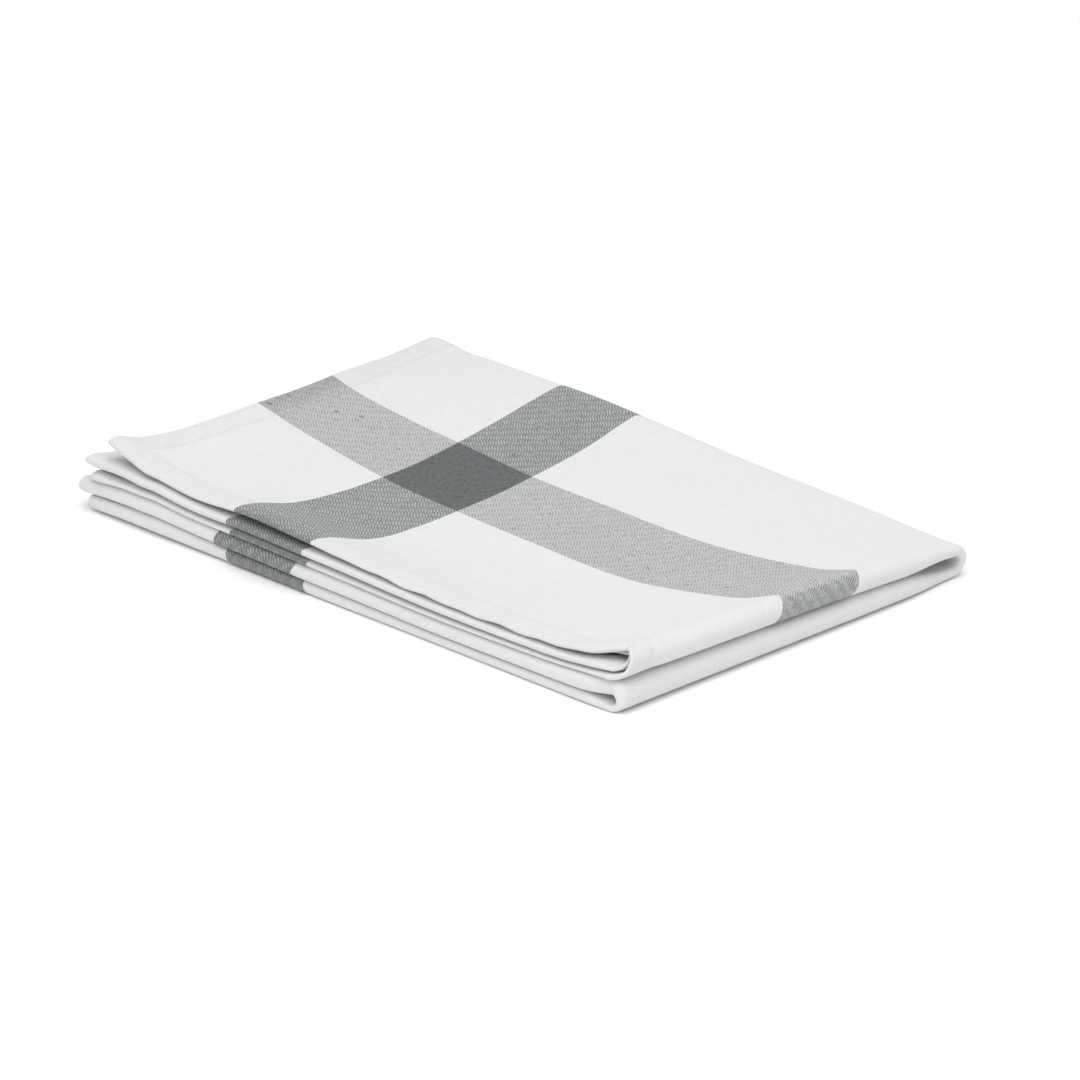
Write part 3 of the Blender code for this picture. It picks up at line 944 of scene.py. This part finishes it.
def uneven_light(graph, place, light, on_top, warp_grey, weft_grey):
    """The yarns' light with streaks along them, soft blotches of painted light and shade, flecks
    and slubs.
    """
    streak = graph.blend(
        on_top, graph.noise(place, "warp streak"), graph.noise(place, "weft streak"))
    streak = around_zero(graph, streak, STREAK_SHARE)
    # soft blotches of painted light and shade
    blotch = around_zero(graph, graph.noise(place, "blotch"), PAINTED_BLOTCH_SHARE)
    light = graph.math("ADD", light, graph.math("ADD", streak, blotch))
    greys = graph.math("ADD", warp_grey, weft_grey)
    fleck = around_zero(graph, graph.noise(place, "fleck"), greys)
    light = graph.math("ADD", light, graph.math("MULTIPLY", fleck, FLECK_SHARE))
    slub = graph.math("SUBTRACT", graph.noise(place, "slub"), SLUB_RARITY)
    slub = graph.math("MULTIPLY", graph.math("MAXIMUM", slub, 0.0), weft_grey)
    return graph.math("SUBTRACT", light, graph.math("MULTIPLY", slub, SLUB_SHARE))


print("bars, mm wide:", [round((end - start) / MM, 1) for start, end in (DARK_BAR, LIGHT_BAR)])

# %% [markdown]
# ### Hems, thread and finish
# A hem slopes away from the light, and its seam, which pulls the cloth in, sits in a dip,
# so both get painted shade: the hem a little darker, the seam darker still. Cotton is matt,
# with a faint sheen from loose fibres, and light spreads a little inside it. The thread is
# plain white cotton.

# %% Cotton twill and sewing thread
HEM_PAINTED_SHADE = 0.05              # painted shade: how much darker a hem is
BAR_HEM_PAINTED_SHADE = 0.15          # painted shade, more where the light bar crosses it
HEM_SOFTNESS = 0.3           # how softly that shade ends, in widths of a hem
SEAM_PAINTED_SHADE = 0.05             # painted shade: how much darker a seam is
SEAM_WIDTH = 1.2 * MM        # half the width of its shade
YARN_RELIEF = 0.06 * MM
RELIEF_STRENGTH = 0.35
SOAK = 0.8 * MM              # how far light spreads inside the cotton
COTTON_FINISH = {
    "Roughness": 0.92,
    "Specular IOR Level": 0.15,
    "Sheen Weight": 0.15,
    "Sheen Roughness": 0.5,
    "Subsurface Weight": 0.3,
    "Subsurface Radius": (1.0, 1.0, 1.0),
    "Subsurface Scale": SOAK,
}
THREAD_FINISH = {"Base Color": WHITE_YARN, "Roughness": 0.8, "Specular IOR Level": 0.2}


def light_less_painted_hem_shade(graph, light, weft_grey):
    """The yarns' light, less the painted shade of the hems and, as a bell curve, of their seams.
    """
    edge = graph.mark("edge")
    in_hem = graph.math("SMOOTH_MIN", graph.math("DIVIDE", edge, HEM_WIDTH), 1.0, HEM_SOFTNESS)
    shade_depth = graph.math("ADD", graph.math("MULTIPLY", weft_grey, BAR_HEM_PAINTED_SHADE), HEM_PAINTED_SHADE)
    shade = graph.math("MULTIPLY", graph.math("SUBTRACT", in_hem, 1.0), shade_depth)
    light = graph.math("ADD", light, shade)
    from_seam = graph.math("DIVIDE", graph.math("SUBTRACT", edge, STITCH_LINE), SEAM_WIDTH)
    squared = graph.math("MULTIPLY", from_seam, from_seam)
    seam = graph.math("EXPONENT", graph.math("MULTIPLY", squared, -1.0))
    return graph.math("SUBTRACT", light, graph.math("MULTIPLY", seam, SEAM_PAINTED_SHADE))


def cotton_twill():
    """The cloth's material: the colour of the yarn on top, times its light."""
    graph = Graph("cotton_twill")
    place = graph.cloth_place()
    warp, weft = (graph.math("FLOOR", graph.math("DIVIDE", way, YARN)) for way in place)
    step, dash = twill_step(graph, place, warp)
    on_top = crosswise_share(graph, step, dash)
    warp_grey = grey_bar(graph, warp, DARK_BAR, FLAT_WIDTH)
    weft_grey = grey_bar(graph, weft, LIGHT_BAR, FLAT_LENGTH)
    top_grey = graph.blend(on_top, warp_grey, weft_grey)
    under_grey = graph.blend(on_top, weft_grey, warp_grey)
    light = graph.math("SUBTRACT", 1.0, graph.math("MULTIPLY", under_grey, THROUGH))
    light = uneven_light(graph, place, light, on_top, warp_grey, weft_grey)
    # painted shade of the hems and their seams
    light = light_less_painted_hem_shade(graph, light, weft_grey)
    colour = graph.scaled(graph.tint(top_grey, WHITE_YARN, GREY_YARN), light)
    graph.feed(graph.shader.inputs["Base Color"], colour)
    rounded = graph.math("SINE", graph.math("MULTIPLY", step, math.pi / FLOAT))
    graph.bump(rounded, YARN_RELIEF, RELIEF_STRENGTH)
    graph.finish(COTTON_FINISH)
    return graph.material


def sewing_thread():
    """Plain white cotton thread."""
    graph = Graph("sewing_thread")
    graph.finish(THREAD_FINISH)
    return graph.material


towel.data.materials.append(cotton_twill())
seams.data.materials.append(sewing_thread())
for piece in (towel, seams):
    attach(piece, "root")
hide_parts("towel_cloth")
print("nodes in the twill:", len(towel.data.materials[0].node_tree.nodes))

# %% [markdown]
# ## Floor and light
# The photograph has a nearly white ground and soft light, mostly from above, so the
# shadows are faint and lie close to the towel. A single lamp would cast harder ones. So an
# even sky fills them in, and two large soft boxes give the shapes their gentle shading.

# %% Floor and light
FLOOR_SIZE = 8.0                 # metres
FLOOR_FINISH = {
    "Base Color": (0.97, 0.97, 0.97, 1.0),
    "Roughness": 0.95,
    "Specular IOR Level": 0.1,
}
SKY_STRENGTH = 0.62
SKY_TINT = (0.975, 1.0, 1.0)     # the shadows are slightly cool
LAMP_TINT = (1.0, 0.985, 0.98)   # and the light slightly warm
LAMPS = (   # place, size and power: one soft box over the towel, and one in front
    ((0.3, -0.25, 1.8), 1.8, 19.5),
    ((0.6, -1.2, 1.1), 1.2, 7.0),
)


def studio():
    """A pale floor, an even sky and the soft boxes."""
    bpy.ops.mesh.primitive_plane_add(size=FLOOR_SIZE)
    floor = bpy.context.object
    floor.name = "floor"
    paper = Graph("floor_paper")
    paper.finish(FLOOR_FINISH)
    floor.data.materials.append(paper.material)
    world = bpy.data.worlds.new("studio")
    world.use_nodes = True
    sky = world.node_tree.nodes["Background"]
    sky.inputs["Color"].default_value = (*SKY_TINT, 1.0)
    sky.inputs["Strength"].default_value = SKY_STRENGTH
    bpy.context.scene.world = world
    for number, (place, size, power) in enumerate(LAMPS):
        light = bpy.data.lights.new(f"soft_box_{number}", "AREA")
        light.energy, light.size, light.color = power, size, LAMP_TINT
        lamp = bpy.data.objects.new(f"soft_box_{number}", light)
        lamp.location = place
        lamp.rotation_euler = (-lamp.location).to_track_quat("-Z", "Y").to_euler()
        bpy.context.scene.collection.objects.link(lamp)


studio()
bpy.context.scene.view_settings.view_transform = "Standard"
print("lamps:", len(LAMPS))

# %% [markdown]
